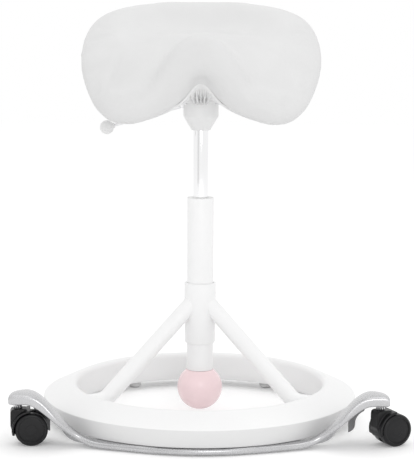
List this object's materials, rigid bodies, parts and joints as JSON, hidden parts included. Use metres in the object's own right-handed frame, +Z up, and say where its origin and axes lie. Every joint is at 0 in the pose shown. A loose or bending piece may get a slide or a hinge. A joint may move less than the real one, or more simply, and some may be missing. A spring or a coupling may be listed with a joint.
{
  "type": "balance stool",
  "caption": "Height-adjustable balance stool: upholstered saddle seat on a gas lift over a foot ring on bent legs, with a ball foot on a screw and castors on a front bar.",
  "frame": {"origin": "middle of the box in plan, on the floor that the glides and castor wheels stand on", "axes": "+Z up along the column, -Y towards the front, where the castor bar is, +X to the right as seen from the front; the release lever is on the -X side"},
  "size_m": [0.7268, 0.603, 0.787],
  "materials": {
    "seat_cover": "matt imitation leather",
    "seat_plastic": "fine matt",
    "white_lacquer": "white powder coat",
    "ring_white": "white moulded shell",
    "chrome": "polished",
    "steel": "plain",
    "cast_aluminium": "satin cast",
    "dark_plate": "dark satin",
    "castor_black": "black nylon",
    "ball_pink": "satin",
    "nylon": "plain",
    "glide_rubber": "matt"
  },
  "bodies": {
    "base": {"column_tube": "white_lacquer", "column_bush": "nylon", "column_end_plate": "steel", "thrust_bearing": "steel", "hub_collar": "white_lacquer", "hub_grub_screw": "steel", "leg_left": "white_lacquer", "leg_right": "white_lacquer", "leg_rear": "white_lacquer", "leg_left_plug": "steel", "leg_right_plug": "steel", "leg_rear_plug": "steel", "leg_left_screw": "steel", "leg_right_screw": "steel", "leg_rear_screw": "steel", "foot_ring": "ring_white", "glide_left": "glide_rubber", "glide_right": "glide_rubber", "castor_bar": "cast_aluminium", "arm_skirt_left": "dark_plate", "arm_skirt_right": "dark_plate", "bar_screw_left": "steel", "bar_screw_right": "steel", "stem_socket_left": "castor_black", "stem_socket_right": "castor_black", "ball_spindle": "steel"},
    "lift_rod": {"piston_rod": "chrome", "piston": "nylon", "rod_washer": "steel", "rod_clip": "steel"},
    "seat": {"gas_cylinder": "chrome", "cylinder_gland": "nylon", "seat_mount": "seat_plastic", "mount_screw_1": "steel", "mount_screw_2": "steel", "mount_screw_3": "steel", "mount_screw_4": "steel", "lever_pivot_pin": "steel", "seat_shell": "seat_plastic", "seat_cushion": "seat_cover"},
    "lever": {"lever_blade": "steel", "lever_rod": "steel", "lever_knob": "seat_plastic"},
    "valve": {"valve_pin": "steel"},
    "ball_guide": {"guide_ring": "nylon"},
    "ball_foot": {"ball_sleeve": "white_lacquer", "sleeve_nut": "steel", "ball": "ball_pink", "ball_insert": "steel"},
    "castor_left": {"castor_stem_left": "steel", "castor_hood_left": "castor_black", "castor_axle_left": "steel"},
    "castor_right": {"castor_stem_right": "steel", "castor_hood_right": "castor_black", "castor_axle_right": "steel"},
    "wheel_left_front": {"castor_wheel_left_front": "castor_black"},
    "wheel_left_back": {"castor_wheel_left_back": "castor_black"},
    "wheel_right_front": {"castor_wheel_right_front": "castor_black"},
    "wheel_right_back": {"castor_wheel_right_back": "castor_black"}
  },
  "joints": [
    {"name": "seat_swivel", "type": "hinge", "parent": "base", "child": "lift_rod", "pos_m": [-0.02088, 0.0035, 0.22], "axis": [0, 0, 1], "continuous": true},
    {"name": "seat_height", "type": "slide", "parent": "lift_rod", "child": "seat", "axis": [0, 0, 1], "range_m": [-0.11, 0.05]},
    {"name": "lever_lift", "type": "hinge", "parent": "seat", "child": "lever", "pos_m": [-0.04288, 0.0035, 0.5965], "axis": [0, 1, 0], "range_deg": [0, 6.5], "stiffness_Nm_per_rad": 2, "springref_deg": -2.86},
    {"name": "valve_press", "type": "slide", "parent": "seat", "child": "valve", "axis": [0, 0, -1], "range_m": [0, 0.0026]},
    {"name": "ball_height", "type": "slide", "parent": "base", "child": "ball_guide", "axis": [0, 0, 1], "range_m": [-0.0301, 0]},
    {"name": "ball_turn", "type": "hinge", "parent": "ball_guide", "child": "ball_foot", "pos_m": [-0.02088, 0.0035, 0.12], "axis": [0, 0, 1], "range_deg": [-1800, 0]},
    {"name": "castor_left_swivel", "type": "hinge", "parent": "base", "child": "castor_left", "pos_m": [-0.34859, -0.21572, 0.08], "axis": [0, 0, 1], "continuous": true},
    {"name": "wheel_left_front_roll", "type": "hinge", "parent": "castor_left", "child": "wheel_left_front", "pos_m": [-0.32472, -0.21321, 0.03], "axis": [-0.1045, 0.9945, 0], "continuous": true},
    {"name": "wheel_left_back_roll", "type": "hinge", "parent": "castor_left", "child": "wheel_left_back", "pos_m": [-0.32472, -0.21321, 0.03], "axis": [-0.1045, 0.9945, 0], "continuous": true},
    {"name": "castor_right_swivel", "type": "hinge", "parent": "base", "child": "castor_right", "pos_m": [0.30684, -0.21572, 0.08], "axis": [0, 0, 1], "continuous": true},
    {"name": "wheel_right_front_roll", "type": "hinge", "parent": "castor_right", "child": "wheel_right_front", "pos_m": [0.32859, -0.20558, 0.03], "axis": [-0.4226, 0.9063, 0], "continuous": true},
    {"name": "wheel_right_back_roll", "type": "hinge", "parent": "castor_right", "child": "wheel_right_back", "pos_m": [0.32859, -0.20558, 0.03], "axis": [-0.4226, 0.9063, 0], "continuous": true}
  ],
  "couplings": [
    {"joint": "valve_press", "follows": "lever_lift", "m_per_rad": 0.022},
    {"joint": "ball_height", "follows": "ball_turn", "m_per_rad": 0.00095493}
  ]
}
